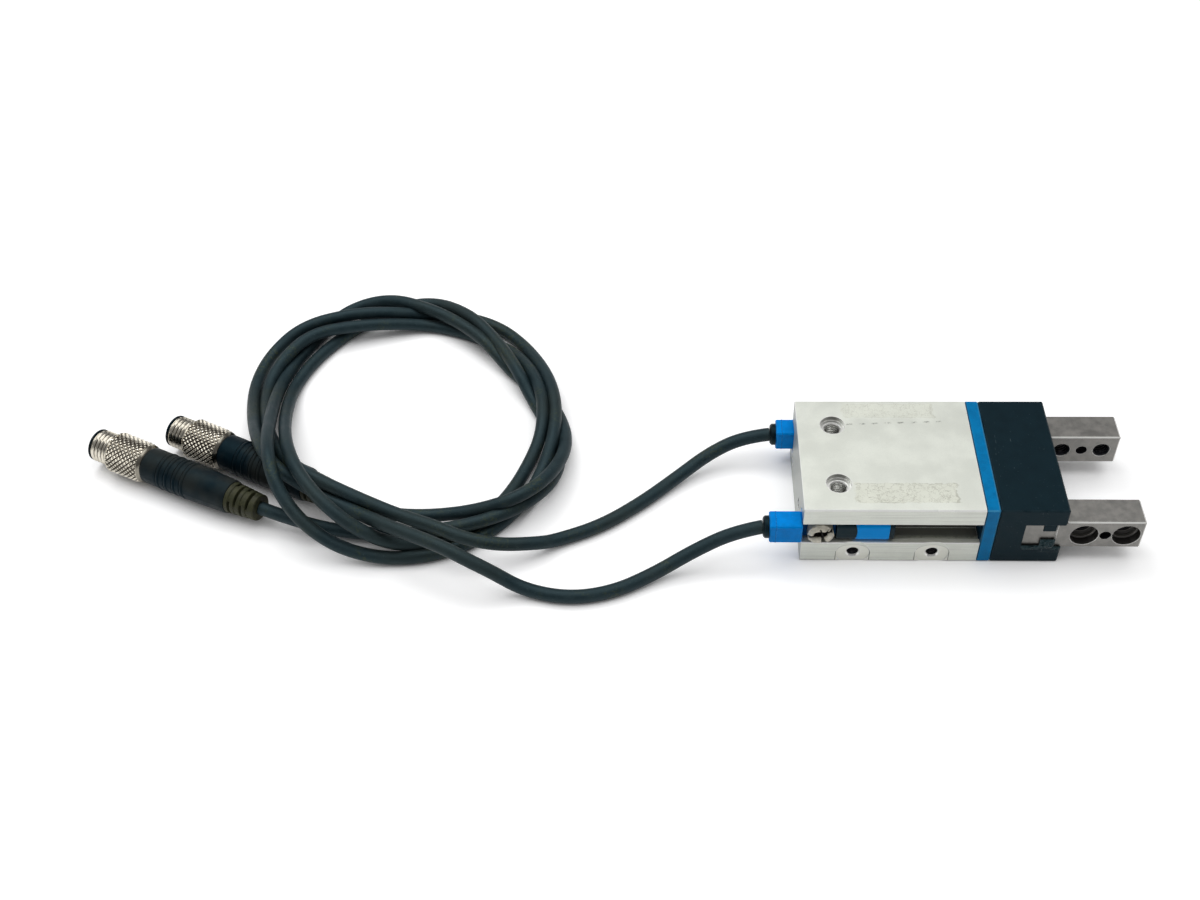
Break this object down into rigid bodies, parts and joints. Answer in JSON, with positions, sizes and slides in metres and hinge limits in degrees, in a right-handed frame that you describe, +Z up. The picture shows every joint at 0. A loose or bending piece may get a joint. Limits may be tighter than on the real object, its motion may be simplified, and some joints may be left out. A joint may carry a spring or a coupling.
{
  "type": "pneumatic parallel gripper",
  "caption": "Pneumatic parallel gripper with sliding jaws worked by bell-crank levers, with position sensors, coiled cables and plug connectors.",
  "frame": {"origin": "midway between the two mounting holes, in the bottom face of the body", "axes": "+X from the rear face towards the jaws, +Y away from the side with the air ports, +Z up from the bottom face"},
  "size_m": [0.2398, 0.1029, 0.0165],
  "materials": {
    "aluminium": "satin anodised",
    "cover_blue": "anodised",
    "head_black": "black anodised, scuffed",
    "steel": "ground",
    "jaw_steel": "ground, dull",
    "nickel": "nickel plated",
    "seal": "matt",
    "bronze": "sintered",
    "magnet": "matt",
    "sensor_blue": "smooth moulded",
    "sensor_black": "smooth moulded",
    "plug_black": "fine moulded",
    "gold": "gold plated",
    "olive": "moulded",
    "cable": "matt jacket"
  },
  "bodies": {
    "housing": {"cylinder_body": "aluminium", "passage_plug": "steel", "cover_plate": "cover_blue", "cover_oring": "seal", "rod_seal": "seal", "rod_bush": "bronze", "guide_head": "head_black", "lever_pins": "steel", "head_screws": "steel", "near_sensor_holder": "sensor_blue", "near_sensor_clamp_screw": "nickel", "near_sensor_barrel": "sensor_black", "near_sensor_sleeve": "sensor_blue", "near_sensor_cap": "sensor_black", "near_sensor_cable_collar": "sensor_black", "far_sensor_holder": "sensor_blue", "far_sensor_clamp_screw": "nickel", "far_sensor_barrel": "sensor_black", "far_sensor_sleeve": "sensor_blue", "far_sensor_cap": "sensor_black", "far_sensor_cable_collar": "sensor_black", "front_plug_contact_carrier": "plug_black", "front_plug_contacts": "gold", "front_plug_grip": "plug_black", "front_plug_strain_relief": "olive", "rear_plug_contact_carrier": "plug_black", "rear_plug_contacts": "gold", "rear_plug_grip": "plug_black", "rear_plug_strain_relief": "olive", "cable_coil": "cable", "near_cable": "cable", "far_cable": "cable", "front_plug_cable": "cable"},
    "piston": {"piston": "aluminium", "piston_seals": "seal", "piston_magnet": "magnet", "piston_rod": "steel"},
    "near_lever": {"near_lever": "steel"},
    "far_lever": {"far_lever": "steel"},
    "near_jaw": {"near_jaw": "jaw_steel"},
    "far_jaw": {"far_jaw": "jaw_steel"},
    "front_nut": {"front_plug_coupling_nut": "nickel"},
    "rear_nut": {"rear_plug_coupling_nut": "nickel"}
  },
  "joints": [
    {"name": "piston_slide", "type": "slide", "parent": "housing", "child": "piston", "axis": [-1, 0, 0], "range_m": [0, 0.003]},
    {"name": "near_lever_swing", "type": "hinge", "parent": "housing", "child": "near_lever", "pos_m": [0.0352, -0.0085, 0.00825], "axis": [0, 0, 1], "range_deg": [0, 30]},
    {"name": "far_lever_swing", "type": "hinge", "parent": "housing", "child": "far_lever", "pos_m": [0.0352, 0.0085, 0.00825], "axis": [0, 0, -1], "range_deg": [0, 30]},
    {"name": "near_jaw_slide", "type": "slide", "parent": "housing", "child": "near_jaw", "axis": [0, 1, 0], "range_m": [0, 0.003]},
    {"name": "far_jaw_slide", "type": "slide", "parent": "housing", "child": "far_jaw", "axis": [0, -1, 0], "range_m": [0, 0.003]},
    {"name": "front_nut_spin", "type": "hinge", "parent": "housing", "child": "front_nut", "pos_m": [-0.16456, 0.00995, 0.0049], "axis": [0.9041, -0.4274, 0], "continuous": true},
    {"name": "rear_nut_spin", "type": "hinge", "parent": "housing", "child": "rear_nut", "pos_m": [-0.14716, 0.01446, 0.0049], "axis": [0.8934, -0.4493, 0], "continuous": true}
  ],
  "couplings": [
    {"joint": "near_lever_swing", "follows": "piston_slide", "rad_per_m": 174.4},
    {"joint": "far_lever_swing", "follows": "piston_slide", "rad_per_m": 174.4},
    {"joint": "near_jaw_slide", "follows": "piston_slide", "ratio": 1},
    {"joint": "far_jaw_slide", "follows": "piston_slide", "ratio": 1}
  ]
}
